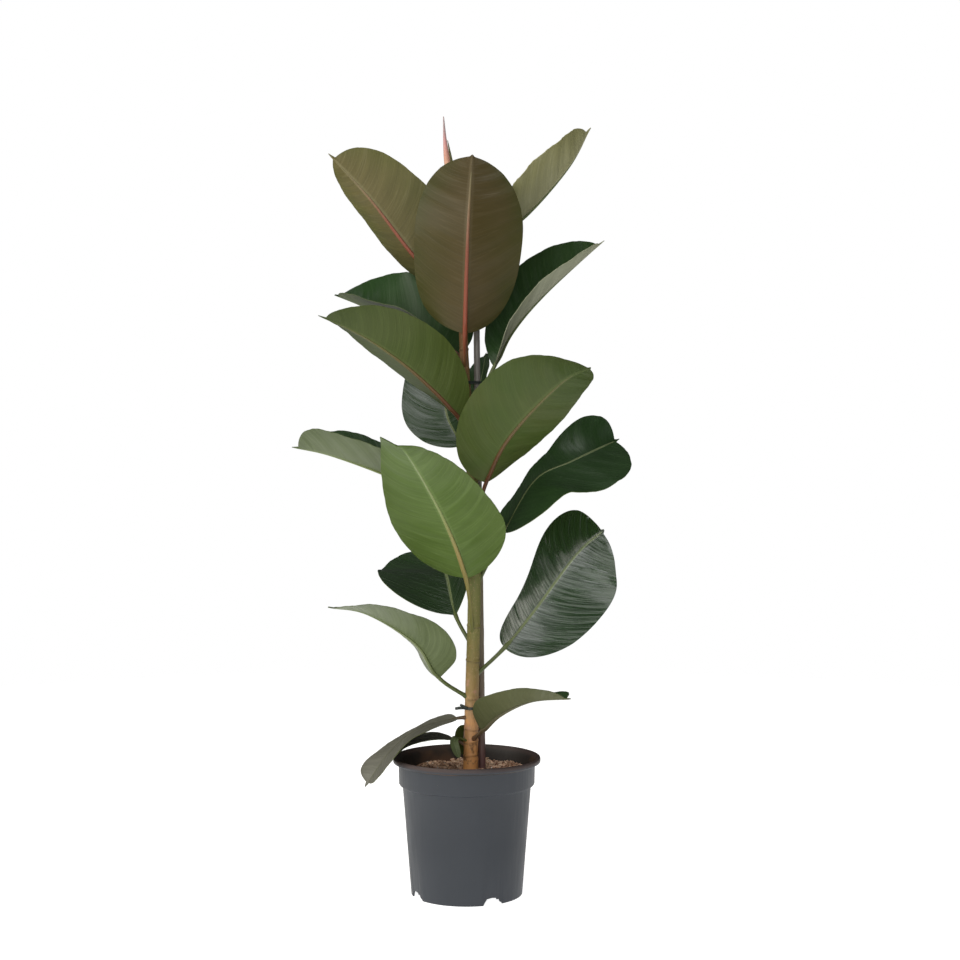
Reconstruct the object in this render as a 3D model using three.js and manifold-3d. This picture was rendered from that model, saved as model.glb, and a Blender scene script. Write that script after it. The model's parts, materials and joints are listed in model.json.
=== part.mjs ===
// A young rubber plant in a round nursery pot. Millimetres, +Z up, the viewer's side is -Y.
// The origin is the middle of the pot's base, on the ground.
import * as THREE from 'three';
import { mergeVertices } from 'three/addons/utils/BufferGeometryUtils.js';
import Module from 'manifold-3d';

const wasm = await Module();
wasm.setup();

// Pot: a tapered wall with a stepped collar under a thick lip. It stands on a skirt and on the
// flat middle of its base; between them the floor is raised, and the skirt has four cut-outs.
const pot = {
  height: 176.5, lipRadius: 95, lipDrop: 7.5, collarRadius: 87.4, collarFoot: 141,
  footRadius: 71.6, taper: 0.08, wall: 1.7, floor: 10, middleRadius: 36, sides: 40,
};
const footNotch = { width: 27, topWidth: 20, height: 9, depth: 8, angles: [28, 118, 208, 298] };
const clearance = 0.3;
const soil = { level: 157, mound: 3, gap: 0.5, sides: 30, topRings: [0.985, 0.85, 0.68, 0.5, 0.3] };

// Trunk: sideways place and radius every 100 mm, from inside the soil up to the shoot
const trunk = {
  firstZ: 70, step: 100, sides: 12,
  x: [4.5, 5, 7, 9.4, 9.4, 5.4, -2.3, -6.7, -17.2],
  radius: [10.5, 9.6, 8.9, 8.4, 7.9, 7.3, 6.2, 5.2, 3.6],
};
const scar = {
  heights: [178, 196, 212, 252, 300, 345, 420, 500, 545, 590, 640, 700, 760, 815], rise: 0.7, reach: 4,
};
const cane = { bottom: [21, 9, 40], top: [12.4, 15.3, 745], radiusLow: 5, radiusTop: 4, sides: 12 };
const tie = {
  low: 239, high: 658, gap: 0.5, thickness: 1.4, height: 4, endSides: 8,
  longEnd: { angle: 200, out: 12, rise: -1, radius: 1.9 },
  shortEnd: { angle: 240, out: 10, rise: 5, radius: 1.6 },
};
const shoot = {
  path: [[-17.6, 0, 871], [-21.5, 0, 917], [-25.3, 0, 943], [-28, 0, 969], [-29.8, 0, 999]],
  radii: [3.4, 4.3, 4, 2.8, 0.7],
};
const rolledLeaf = {
  path: [[-14, 0, 848], [-10.5, 9, 866], [-14, 9.5, 900], [-19, 9, 938], [-24.8, 7, 970]],
  radii: [1.8, 1.9, 2.1, 2, 0.7],
};

// Leaf make-up that all leaves share
const blade = {
  thickness: 1.2, bluntness: 2.25, bodyEnd: 0.955, tipHalfWidth: 0.6, ribHalfWidth: 2.4, ribDepth: 1.6,
  sections: 13, stalkSections: 3, dripTip: 2, curveSteps: 100,
};
const stations = [1, 0.55, 'rib', 0, '-rib', -0.55, -1];

// Each leaf: the height where its stalk leaves the trunk, then the midrib's path from the blade's
// foot through two points to its tip. Angles in degrees at foot, middle and tip: roll turns the
// blade about its midrib, fold raises both halves, cup adds curl toward the edges. left and right
// widen or narrow one half, also at foot, middle and tip.
const leaves = [
  { name: 'leaf_01', from: 741, path: [[-38, -6, 789], [-71, -8, 824], [-122, -8, 890], [-177, -2, 951]],
    width: 133, roll: [54, 56, 55], fold: [33, 30, 27], cup: 8,
    left: [1.4, 1, 0.95], right: [1.1, 0.9, 0.9], colour: 'oliveLeaf' },
  { name: 'leaf_02', from: 676, path: [[-2, -38, 718], [0, -62, 789], [3, -72, 863], [8, -40, 950]],
    width: 148, roll: [-3, 2, 5], fold: [20, 16, 14], cup: 8,
    left: [0.95, 1, 1.1], right: [1.15, 0.95, 1.1], heading: -90, colour: 'oliveLeaf' },
  { name: 'leaf_03', from: 813, path: [[29, 14, 844], [76, 30, 876], [133, 36, 940], [161, 40, 992]],
    width: 116, roll: [-9, -9, -9], fold: [25, 21, 21], cup: 8,
    left: [0.75, 0.75, 0.75], right: [1.35, 1.35, 1.2], colour: 'oliveLeaf' },
  { name: 'leaf_04', from: 610, path: [[36, -14, 679], [58, 0, 723], [101, 12, 773], [178, 24, 843]],
    width: 117, roll: [18, 14, 12], fold: [31, 36, 21], cup: 6,
    left: [0.4, 0.97, 0.85], right: [1.1, 0.85, 0.9], colour: 'darkLeaf' },
  { name: 'leaf_05', from: 669, path: [[-12, 20, 695], [-57, 34, 733], [-115, 48, 752], [-175, 62, 776]],
    width: 136, roll: [-27, -29, -7], fold: [29, 37, 13], cup: 6,
    left: [1, 0.95, 1], right: [1.05, 0.95, 1.3], colour: 'darkLeaf' },
  { name: 'leaf_06', from: 571, path: [[-11, -16, 613], [-65, -30, 668], [-125, -42, 711], [-186, -50, 740]],
    width: 110, roll: [49, 41, 10], fold: [47, 33, 17], cup: 6,
    left: [1.05, 1.05, 0.75], right: [0.8, 1.2, 1.4], colour: 'oliveLeaf' },
  { name: 'leaf_07', from: 526, path: [[-7, 40, 576], [-28, 85, 622], [-25, 130, 681], [-34, 165, 760]],
    width: 134, roll: [-6, -8, -1], fold: [4, 2, 9], cup: 8,
    left: [0.9, 0.9, 0.85], right: [1, 0.5, 0.35], heading: 90, colour: 'darkLeaf' },
  { name: 'leaf_08', from: 571, path: [[5, 39, 604], [13, 64, 640], [20, 86, 672], [25, 106, 702]],
    width: 88, roll: [-30, -30, -30], fold: [20, 20, 20], cup: 8,
    left: [0.7, 0.6, 0.5], right: [0.7, 0.55, 0.6], colour: 'darkLeaf' },
  { name: 'leaf_09', from: 468, path: [[25, -20, 530], [54, -45, 587], [117, -70, 653], [159, -95, 675]],
    width: 128, roll: [-21, -34, -19], fold: [21, 9, -5], cup: 4,
    left: [1, 0.8, 0.75], right: [1, 1.2, 1.2], colour: 'oliveLeaf' },
  { name: 'leaf_10', from: 391, path: [[48, 6, 465], [88, 14, 532], [138, 42, 557], [206, 118, 586]],
    width: 123, roll: [16, 25, 79], fold: [3, -6, 40], cup: 0,
    left: [1.45, 0.75, 1.45], right: [1.3, 1.35, 0.85], heading: 5, colour: 'darkLeaf' },
  { name: 'leaf_11', from: 277, path: [[49, 6, 316], [86, 12, 361], [141.5, 18, 435], [182, 12, 471]],
    width: 135, roll: [58, 71, 58], fold: [-7, -11, -6], cup: -4,
    left: [0.6, 0.57, 1.58], right: [0.88, 1.12, 1.18], heading: 12, colour: 'darkLeaf' },
  { name: 'leaf_12', from: 471, path: [[-32, -3, 505], [-93, 0, 535], [-172, 5, 563], [-226, 10, 575]],
    width: 120, roll: [7, -3, 1], fold: [29, 28, 31], cup: 6,
    left: [1, 1.1, 1.45], right: [0.85, 1.05, 1.15], colour: 'paleLeaf' },
  { name: 'leaf_13', from: 326, path: [[-1, -40, 409], [-29, -78, 488], [-72, -119, 566], [-89, -146, 577]],
    width: 145, roll: [25, 7, -12], fold: [18, -3, 15], cup: 2,
    left: [0.85, 1.15, 0.8], right: [1.1, 1.05, 1], colour: 'brightLeaf' },
  { name: 'leaf_14', from: 316, path: [[-15, 36, 355], [-29, 120, 403], [-46, 180, 412], [-48, 228, 436]],
    width: 168, roll: [-29, -34, -40], fold: [39, 34, 28], cup: 4,
    left: [1.2, 1.1, 0.9], colour: 'darkLeaf' },
  { name: 'leaf_15', from: 249, path: [[-36, -10, 279], [-65, -20, 324], [-125, -30, 362], [-175, -40, 372]],
    width: 106, roll: [31, 14, 6], fold: [24, 11, 2], cup: 4,
    left: [1.1, 1.1, 1], right: [1.1, 0.95, 1], colour: 'paleLeaf' },
  { name: 'leaf_16', from: 196, path: [[20, -28, 213], [42, -62, 239], [80, -97, 261], [127, -125, 268]],
    width: 66, roll: [-20, -11, -11], fold: [52, 20, 30], cup: 0,
    left: [1, 1, 1.7], right: [0.9, 1.2, 1], colour: 'oliveLeaf' },
  { name: 'leaf_17', from: 225, path: [[-13, -6, 226], [-62, -10, 213], [-99, -14, 184], [-130, -18, 140]],
    width: 73, roll: [-9, 0, -35], fold: [8, 1, 21], cup: 0,
    left: [1.1, 1.45, 0.95], right: [1.1, 0.8, 1.4], stalk: 2, colour: 'darkLeaf' },
  { name: 'leaf_18', from: 187, path: [[-19, 2, 198], [-48, 2, 199], [-78, 0, 191], [-107, -6, 165]],
    width: 46, roll: [-4, -4, -4], fold: [6, 6, 6], cup: 0,
    stalk: 1.8, colour: 'darkLeaf' },
  { name: 'leaf_19', from: 194, path: [[-10, -14, 202], [-16, -20, 199], [-14, -24, 190], [-9, -26, 178]],
    width: 11, roll: [0, 0, 0], fold: [20, 20, 20], cup: 0,
    stalk: 1.3, colour: 'brightLeaf' },
  { name: 'leaf_20', from: 220, path: [[3, 22, 212], [3, 33, 197], [5, 39, 180], [6, 41, 165]],
    width: 39, roll: [0, 0, 0], fold: [10, 10, 10], cup: 0,
    stalk: 1.6, heading: 90, colour: 'darkLeaf' },
];
const usualStalk = 2.5;

const finishes = {
  potPlastic: { color: '#4b4f55', roughness: 0.5 },
  earth: { color: '#5b4333', roughness: 0.95 },
  bark: { color: '#76703f', roughness: 0.8 },
  cane: { color: '#6a5a55', roughness: 0.6 },
  tie: { color: '#26302a', roughness: 0.6 },
  pinkShoot: { color: '#c98a78', roughness: 0.5 },
  darkLeaf: { color: '#1f3a22', roughness: 0.35 },
  oliveLeaf: { color: '#565c33', roughness: 0.5 },
  paleLeaf: { color: '#75835d', roughness: 0.5 },
  brightLeaf: { color: '#5f7538', roughness: 0.5 },
};

const radians = THREE.MathUtils.degToRad;

// Closed skin from a start point over rings of equal count to an end point. Rings run counter-
// clockwise seen from the end. The second half of each ring takes the other diagonal, so that a
// thin blade is split alike on both faces.
function skin(start, rings, end) {
  const count = rings[0].length;
  const points = [start, ...rings.flat(), end];
  const at = (ring, m) => 1 + ring * count + (m % count);
  const faces = [];
  for (let m = 0; m < count; m += 1) {
    faces.push(0, at(0, m + 1), at(0, m));
    for (let ring = 0; ring + 1 < rings.length; ring += 1) {
      const [a, b, c, d] = [at(ring, m), at(ring, m + 1), at(ring + 1, m + 1), at(ring + 1, m)];
      if (m < count / 2) faces.push(a, b, c, a, c, d);
      else faces.push(a, b, d, b, c, d);
    }
    faces.push(points.length - 1, at(rings.length - 1, m), at(rings.length - 1, m + 1));
  }
  const geometry = new THREE.BufferGeometry().setFromPoints(points);
  geometry.setIndex(faces);
  return geometry;
}

function toSolid(geometry) {
  geometry.deleteAttribute('normal');
  geometry.deleteAttribute('uv');
  const merged = mergeVertices(geometry, 1e-3);
  const vertProperties = merged.attributes.position.array;
  const triVerts = new Uint32Array(merged.index.array);
  return new wasm.Manifold(new wasm.Mesh({ numProp: 3, vertProperties, triVerts }));
}

function toGeometry(solid) {
  const mesh = solid.getMesh();
  const geometry = new THREE.BufferGeometry();
  geometry.setAttribute('position', new THREE.BufferAttribute(new Float32Array(mesh.vertProperties), 3));
  geometry.setIndex(new THREE.BufferAttribute(new Uint32Array(mesh.triVerts), 1));
  return geometry.toNonIndexed();
}

// Round rod along a path of points, with a radius at each point
function rod(path, radii, sides) {
  const curve = path.map((p) => new THREE.Vector3(...p));
  const last = curve.length - 1;
  const rings = curve.map((point, i) => {
    const [before, after] = [curve[Math.max(i - 1, 0)], curve[Math.min(i + 1, last)]];
    const along = new THREE.Vector3().subVectors(after, before).normalize();
    const side = Math.abs(along.x) > 0.9 ? new THREE.Vector3(0, 1, 0) : new THREE.Vector3(1, 0, 0);
    side.addScaledVector(along, -side.dot(along)).normalize();
    return circle(point, side, new THREE.Vector3().crossVectors(along, side), radii[i], sides);
  });
  return skin(curve[0], rings, curve[last]);
}

function circle(centre, side, across, radius, sides) {
  return Array.from({ length: sides }, (_, m) => {
    const turn = (2 * Math.PI * (m + 0.5)) / sides;
    return centre.clone()
      .addScaledVector(side, radius * Math.cos(turn))
      .addScaledVector(across, radius * Math.sin(turn));
  });
}

// Trunk centre line and radius at a height; the even spacing keeps the curve's height linear
const trunkPoints = trunk.x.map((x, i) => {
  return new THREE.Vector3(x, trunk.radius[i], trunk.firstZ + i * trunk.step);
});
const trunkLine = new THREE.CatmullRomCurve3(trunkPoints, false, 'catmullrom', 0.5);
const trunkTop = trunk.firstZ + (trunk.x.length - 1) * trunk.step;

function trunkAt(z) {
  const point = trunkLine.getPoint((z - trunk.firstZ) / (trunkTop - trunk.firstZ));
  return { centre: new THREE.Vector3(point.x, 0, z), radius: point.y };
}

function trunkGeometry(grow) {
  const heights = new Set([trunk.firstZ, trunkTop]);
  for (let z = trunk.firstZ; z < trunkTop; z += trunk.step / 2) heights.add(z);
  scar.heights.forEach((z) => [-scar.reach, 0, scar.reach].forEach((shift) => heights.add(z + shift)));
  const rings = [...heights].sort((a, b) => a - b).map((z) => {
    const { centre, radius } = trunkAt(z);
    const skinRadius = radius + grow + (scar.heights.includes(z) ? scar.rise : 0);
    return circle(centre, new THREE.Vector3(1, 0, 0), new THREE.Vector3(0, 1, 0), skinRadius, trunk.sides);
  });
  rings[0].forEach((p) => { p.z -= grow; });
  rings.at(-1).forEach((p) => { p.z += grow; });
  const low = trunkAt(trunk.firstZ).centre;
  const high = trunkAt(trunkTop).centre;
  return skin(low.setZ(low.z - grow), rings, high.setZ(high.z + grow));
}

function caneGeometry(grow) {
  const bottom = cane.bottom.with(2, cane.bottom[2] - grow);
  return rod([bottom, cane.top], [cane.radiusLow + grow, cane.radiusTop + grow], cane.sides);
}

function caneAt(z) {
  const share = (z - cane.bottom[2]) / (cane.top[2] - cane.bottom[2]);
  const centre = new THREE.Vector3(...cane.bottom).lerp(new THREE.Vector3(...cane.top), share);
  return { centre, radius: THREE.MathUtils.lerp(cane.radiusLow, cane.radiusTop, share) };
}

// Three values given at foot, middle and tip, joined by a parabola
function along([foot, middle, tip], u) {
  return foot + (4 * middle - 3 * foot - tip) * u + 2 * (foot - 2 * middle + tip) * u * u;
}

function halfWidth(leaf, u, hand) {
  const taper = (leaf.stalk ?? usualStalk) * (1 - u) + blade.tipHalfWidth * u;
  if (u >= blade.bodyEnd) return taper;
  const fromMiddle = Math.abs((2 * u) / blade.bodyEnd - 1) ** blade.bluntness;
  const body = (leaf.width / 2) * along(leaf[hand] ?? [1, 1, 1], u);
  return Math.hypot(body * (1 - fromMiddle) ** (1 / blade.bluntness), taper);
}

function leafGeometry(leaf) {
  const points = [trunkAt(leaf.from).centre, ...leaf.path.map((p) => new THREE.Vector3(...p))];
  const curve = new THREE.CatmullRomCurve3(points, false, 'catmullrom', 0.5);
  curve.arcLengthDivisions = blade.curveSteps * leaf.path.length;
  const lengths = curve.getLengths();
  const foot = lengths[blade.curveSteps] / lengths.at(-1);
  const chord = new THREE.Vector3().subVectors(points[4], points[1]);
  const heading = leaf.heading === undefined ? Math.atan2(chord.y, chord.x) : radians(leaf.heading);
  const level = new THREE.Vector3(-Math.sin(heading), Math.cos(heading), 0);

  // Point and frame of the midrib: side runs to the leaf's left, face out of its top side
  function frameAt(share, roll) {
    const point = curve.getPointAt(share);
    const tangent = curve.getTangentAt(share);
    const flatSide = level.clone().addScaledVector(tangent, -level.dot(tangent)).normalize();
    const flatFace = new THREE.Vector3().crossVectors(tangent, flatSide);
    const [c, s] = [Math.cos(radians(roll)), Math.sin(radians(roll))];
    const side = flatSide.clone().multiplyScalar(c).addScaledVector(flatFace, s);
    const face = flatFace.clone().multiplyScalar(c).addScaledVector(flatSide, -s);
    return { point, tangent, side, face };
  }

  const rings = [];
  const count = 2 * stations.length;
  for (let k = 0; k <= blade.stalkSections; k += 1) {
    const { point, side, face } = frameAt((foot * k) / blade.stalkSections, leaf.roll[0]);
    rings.push(circle(point, side, face, leaf.stalk ?? usualStalk, count));
  }
  for (let k = 1; k <= blade.sections; k += 1) {
    const u = 0.5 - 0.5 * Math.cos((Math.PI * k) / blade.sections);
    const { point, side, face } = frameAt(foot + (1 - foot) * u, along(leaf.roll, u));
    rings.push(bladeRing(leaf, u, point, side, face));
  }
  const tip = frameAt(1, leaf.roll[2]);
  return skin(points[0], rings, tip.point.clone().addScaledVector(tip.tangent, blade.dripTip));
}

function bladeRing(leaf, u, point, side, face) {
  const fold = along(leaf.fold, u);
  const ribDepth = Math.min(blade.ribDepth, (leaf.stalk ?? usualStalk) - 0.8) * (1 - u);
  const top = stations.map((station, j) => {
    const width = halfWidth(leaf, u, j < stations.length / 2 ? 'left' : 'right');
    const rib = Math.min(0.4, blade.ribHalfWidth / width);
    const v = { rib, '-rib': -rib }[station] ?? station;
    const rise = radians(fold + (leaf.cup * Math.abs(v)) / 2);
    return point.clone().addScaledVector(side, v * width * Math.cos(rise))
      .addScaledVector(face, Math.abs(v) * width * Math.sin(rise) + blade.thickness / 2);
  });
  const under = top.map((p, j) => {
    return p.clone().addScaledVector(face, -blade.thickness - (stations[j] === 0 ? ribDepth : 0));
  });
  return [...top, ...under.reverse()];
}

function potSolid() {
  const wallRadius = (z) => pot.footRadius + pot.taper * z;
  const { wall, middleRadius, collarFoot, collarRadius, lipRadius } = pot;
  const lipFoot = pot.height - pot.lipDrop;
  const collarTop = { radius: collarRadius + 0.5, z: lipFoot - 3 };
  const floorTop = pot.floor + wall;
  const base = [
    [0, 0], [middleRadius, 0], [middleRadius + 3, pot.floor], [wallRadius(0) - wall, pot.floor],
    [wallRadius(0) - wall, 0], [wallRadius(0), 0],
  ];
  const outside = [
    [wallRadius(collarFoot - 2), collarFoot - 2], [collarRadius - 0.8, collarFoot],
    [collarRadius, collarFoot + 1.5],
    [collarTop.radius, collarTop.z], [lipRadius - 1.5, lipFoot], [lipRadius, lipFoot + 1.5],
    [lipRadius, pot.height - 2], [lipRadius - 1.2, pot.height],
  ];
  const inside = [
    [lipRadius - 2.6, pot.height - 0.5], [collarTop.radius - wall, collarTop.z],
    [collarRadius - wall, collarFoot + 0.5], [wallRadius(collarFoot) - wall, collarFoot - 3],
    [wallRadius(floorTop) - wall, floorTop], [middleRadius, floorTop], [middleRadius - 3, wall], [0, wall],
  ];
  const profile = [...base, ...outside, ...inside];
  const shell = new THREE.LatheGeometry(profile.map(([r, z]) => new THREE.Vector2(r, z)), pot.sides);
  shell.rotateX(Math.PI / 2);
  return footNotch.angles.reduce((body, angle) => body.subtract(notchSolid(angle)), toSolid(shell));
}

function notchSolid(angle) {
  const { width, topWidth, height, depth } = footNotch;
  const outline = new THREE.Shape([
    new THREE.Vector2(-width / 2, -1), new THREE.Vector2(width / 2, -1),
    new THREE.Vector2(topWidth / 2, height), new THREE.Vector2(-topWidth / 2, height),
  ]);
  const cutter = new THREE.ExtrudeGeometry(outline, { depth, bevelEnabled: false });
  cutter.rotateX(Math.PI / 2);
  cutter.translate(0, -(pot.footRadius - depth / 2), 0);
  cutter.rotateZ(radians(angle));
  return toSolid(cutter);
}

function soilHeight(x, y) {
  const mounds = Math.sin(x / 14 + 1) * Math.cos(y / 12) + 0.4 * Math.sin((x + y) / 7);
  return soil.level + soil.mound * mounds;
}

function soilSolid() {
  const inner = (z) => pot.footRadius + pot.taper * z - pot.wall - soil.gap;
  const collar = pot.collarRadius - pot.wall - soil.gap;
  const bottom = pot.floor + pot.wall + soil.gap;
  const flat = (radius, z) => ({ radius, height: () => z });
  const bands = [
    flat(inner(bottom), bottom), flat(inner(pot.collarFoot - 3), pot.collarFoot - 3),
    flat(collar - 0.2, pot.collarFoot + 1), flat(collar, soil.level - 5),
    ...soil.topRings.map((share) => ({ radius: collar * share, height: soilHeight })),
  ];
  const rings = bands.map(({ radius, height }) => Array.from({ length: soil.sides }, (_, m) => {
    const turn = (2 * Math.PI * m) / soil.sides;
    const [x, y] = [radius * Math.cos(turn), radius * Math.sin(turn)];
    return new THREE.Vector3(x, y, height(x, y));
  }));
  const body = skin(new THREE.Vector3(0, 0, bottom), rings, new THREE.Vector3(0, 0, soilHeight(0, 0)));
  const holes = [trunkGeometry(clearance), caneGeometry(clearance)];
  return holes.reduce((heap, hole) => heap.subtract(toSolid(hole)), toSolid(body));
}

// Outline round two circles, like a belt over two wheels
function beltPath(PathKind, a, b, grow) {
  const [dx, dy] = [b.centre.x - a.centre.x, b.centre.y - a.centre.y];
  const direction = Math.atan2(dy, dx);
  const spread = Math.acos((a.radius - b.radius) / Math.hypot(dx, dy));
  const [first, last] = [direction + spread, direction - spread];
  const belt = new PathKind();
  belt.absarc(a.centre.x, a.centre.y, a.radius + grow, first, last + 2 * Math.PI, false);
  belt.absarc(b.centre.x, b.centre.y, b.radius + grow, last, first, false);
  belt.closePath();
  return belt;
}

function tieSolid(z) {
  const [a, b] = [trunkAt(z), caneAt(z)];
  const outline = beltPath(THREE.Shape, a, b, tie.gap + tie.thickness);
  outline.holes.push(beltPath(THREE.Path, a, b, tie.gap));
  const options = { depth: tie.height, bevelEnabled: false, curveSegments: 6 };
  const band = new THREE.ExtrudeGeometry(outline, options);
  band.translate(0, 0, z - tie.height / 2);
  return toSolid(band);
}

// A free end of the lower tie: it starts on the band at an angle round the trunk and points left
function tieEnd({ angle, out, rise, radius }) {
  const around = trunkAt(tie.low);
  const reach = around.radius + tie.gap + tie.thickness / 2;
  const x = around.centre.x + reach * Math.cos(radians(angle));
  const y = reach * Math.sin(radians(angle));
  return toSolid(rod([[x, y, tie.low], [x - out, y, tie.low + rise]], [radius, radius], tie.endSides));
}

function node(name, solid, finish) {
  const material = new THREE.MeshStandardMaterial({ ...finishes[finish], metalness: 0 });
  const geometry = toGeometry(solid);
  geometry.computeVertexNormals();
  const mesh = new THREE.Mesh(geometry, material);
  mesh.name = name;
  return mesh;
}

const plant = new THREE.Group();
const aroundTrunk = toSolid(trunkGeometry(clearance));
plant.add(node('pot', potSolid(), 'potPlastic'));
plant.add(node('soil', soilSolid(), 'earth'));
plant.add(node('stem', toSolid(trunkGeometry(0)), 'bark'));
plant.add(node('stake', toSolid(caneGeometry(0)), 'cane'));
const lowTie = tieSolid(tie.low).add(tieEnd(tie.longEnd)).add(tieEnd(tie.shortEnd));
plant.add(node('tie_low', lowTie.subtract(aroundTrunk), 'tie'));
plant.add(node('tie_high', tieSolid(tie.high), 'tie'));
plant.add(node('sheath', toSolid(rod(shoot.path, shoot.radii, 10)), 'pinkShoot'));
const rolled = toSolid(rod(rolledLeaf.path, rolledLeaf.radii, 8));
plant.add(node('young_leaf', rolled.subtract(aroundTrunk), 'darkLeaf'));
leaves.forEach((leaf) => {
  plant.add(node(leaf.name, toSolid(leafGeometry(leaf)).subtract(aroundTrunk), leaf.colour));
});

export default plant;
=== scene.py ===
import bisect
import json
import math
import random

import bpy
from mathutils import Euler, Matrix, Vector, noise


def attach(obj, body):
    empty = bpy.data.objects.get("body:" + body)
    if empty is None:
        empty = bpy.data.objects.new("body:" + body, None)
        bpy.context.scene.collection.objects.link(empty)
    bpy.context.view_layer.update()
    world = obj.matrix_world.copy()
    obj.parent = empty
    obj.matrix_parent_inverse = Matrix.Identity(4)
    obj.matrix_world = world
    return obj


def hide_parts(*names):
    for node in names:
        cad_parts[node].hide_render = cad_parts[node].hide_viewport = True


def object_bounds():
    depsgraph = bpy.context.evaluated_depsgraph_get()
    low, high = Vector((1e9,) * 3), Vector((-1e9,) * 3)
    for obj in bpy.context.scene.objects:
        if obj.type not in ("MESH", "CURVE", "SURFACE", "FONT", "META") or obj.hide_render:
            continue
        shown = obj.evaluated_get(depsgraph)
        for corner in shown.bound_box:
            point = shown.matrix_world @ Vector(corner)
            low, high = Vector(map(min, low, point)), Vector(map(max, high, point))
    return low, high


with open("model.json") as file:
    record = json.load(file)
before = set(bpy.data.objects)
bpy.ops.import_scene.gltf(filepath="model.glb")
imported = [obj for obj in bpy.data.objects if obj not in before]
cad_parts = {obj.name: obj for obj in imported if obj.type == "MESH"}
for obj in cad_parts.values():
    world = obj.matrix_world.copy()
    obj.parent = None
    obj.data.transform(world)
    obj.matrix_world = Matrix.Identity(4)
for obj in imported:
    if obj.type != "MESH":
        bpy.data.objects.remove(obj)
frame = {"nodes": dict(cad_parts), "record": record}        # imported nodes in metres, origin under the middle of the pot
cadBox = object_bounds()
mm = 0.001
fullTurn = 2 * math.pi
lastTurn = 6.28          # random angles are drawn from 0 to this
print("frame loaded:", len(frame["nodes"]), "nodes")


# ---- finish helpers: each adds nodes and gives back the output that the next one takes

# colours are given as sRGB hex, Blender wants linear
def linear(hexColour):
    channels = [int(hexColour[i:i + 2], 16) / 255 for i in (1, 3, 5)]
    return [c / 12.92 if c <= 0.04045 else ((c + 0.055) / 1.055) ** 2.4 for c in channels] + [1]


def addNode(tree, kind, inputs=None, **settings):
    node = tree.nodes.new("ShaderNode" + kind)
    for name, value in settings.items():
        setattr(node, name, value)
    for socket, value in (inputs or {}).items():
        if isinstance(value, bpy.types.NodeSocket):
            tree.links.new(value, node.inputs[socket])
        else:
            node.inputs[socket].default_value = value
    return node


def newFinish(name):
    material = bpy.data.materials.new(name)
    material.use_nodes = True
    material.node_tree.nodes.clear()
    return material, material.node_tree


# every finish ends in a bump, its full height in mm, under one principled shader
def closeFinish(tree, colour, rough, ior, height, rise, strength=1.0, extra=None):
    bump = addNode(tree, "Bump", {"Height": height, "Strength": strength, "Distance": rise * mm})
    inputs = {"Base Color": colour, "Roughness": rough, "IOR": ior, "Normal": bump.outputs[0]}
    shader = addNode(tree, "BsdfPrincipled", {**inputs, **(extra or {})})
    addNode(tree, "OutputMaterial", {"Surface": shader.outputs[0]})


def objectPlace(tree):
    return addNode(tree, "TexCoord").outputs["Object"]


def heightOf(tree, place):
    return addNode(tree, "SeparateXYZ", {0: place}).outputs[2]


# scale is per metre, one number or one for each axis
def noiseAt(tree, place, scale, detail):
    if isinstance(scale, tuple):
        place, scale = addNode(tree, "Mapping", {"Vector": place, "Scale": scale}).outputs[0], 1.0
    return addNode(tree, "TexNoise", {"Vector": place, "Scale": scale, "Detail": detail}).outputs[0]


def colourRamp(tree, value, stops):
    ramp = addNode(tree, "ValToRGB", {"Fac": value})
    elements = ramp.color_ramp.elements
    while len(elements) > 1:
        elements.remove(elements[-1])
    elements[0].position, elements[0].color = stops[0][0], linear(stops[0][1])
    for position, colour in stops[1:]:
        elements.new(position).color = linear(colour)
    return ramp.outputs[0]


def blendColour(tree, factor, first, second):
    first, second = [linear(colour) if isinstance(colour, str) else colour for colour in (first, second)]
    return addNode(tree, "Mix", {0: factor, 6: first, 7: second}, data_type="RGBA").outputs[2]


def maths(tree, operation, first, second=0.0, clamp=False):
    return addNode(tree, "Math", {0: first, 1: second}, operation=operation, use_clamp=clamp).outputs[0]


def times(tree, first, second):
    return maths(tree, "MULTIPLY", first, second)


def between(tree, value, low, high, first, last):
    ends = {"From Min": low, "From Max": high, "To Min": first, "To Max": last}
    return addNode(tree, "MapRange", {"Value": value, **ends}).outputs[0]


# ---- leaf finishes: a live rubber plant leaf has a thick waxy cuticle on top and a duller underside

veins = {
    "pitch": 5.0,                                       # mm between the side veins
    "run": 70,                                          # mm that a vein or a streak of gloss keeps straight
    "linePitch": 8.0, "lineRun": 160, "lineHalf": 0.045,        # the thin pale lines among them
    "underRelief": 0.25,
    "topRib": (0.009, 0.008), "underRib": (0.012, 0.03),        # half the midrib's colour and its soft edge
    # painted shade: shade darkens the furrows between side veins, tipShade the blade toward its tip
    "shade": "#20260f", "tipShade": "#1c2412",
}


def bladeCoordinates(tree):
    vein = addNode(tree, "UVMap", uv_map="veins").outputs[0]    # metres: order of the veins, distance across
    place = addNode(tree, "SeparateXYZ", {0: addNode(tree, "UVMap", uv_map="place").outputs[0]})
    return vein, place.outputs[0], place.outputs[1]             # share along the blade, share across


def veinNoise(tree, vein, pitch, run, detail):
    scale = (1 / (pitch * mm), 1 / (run * mm), 1)
    stretch = addNode(tree, "Mapping", {"Vector": vein, "Scale": scale}).outputs[0]
    inputs = {"Vector": stretch, "Scale": 1.0, "Detail": detail}
    return addNode(tree, "TexNoise", inputs, noise_dimensions="2D").outputs[0]


def veinLines(tree, vein):
    # thin lines where the stretched noise crosses its middle, so their spacing is uneven
    wave = veinNoise(tree, vein, veins["linePitch"], veins["lineRun"], 0.0)
    offMiddle = maths(tree, "ABSOLUTE", maths(tree, "SUBTRACT", wave, 0.5))
    return between(tree, offMiddle, 0.0, veins["lineHalf"], 1.0, 0.0)


def ribMask(tree, across, halfShare, softShare):
    distance = maths(tree, "ABSOLUTE", maths(tree, "SUBTRACT", across, 0.5))
    return between(tree, distance, halfShare, halfShare + softShare, 1.0, 0.0), distance


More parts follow.
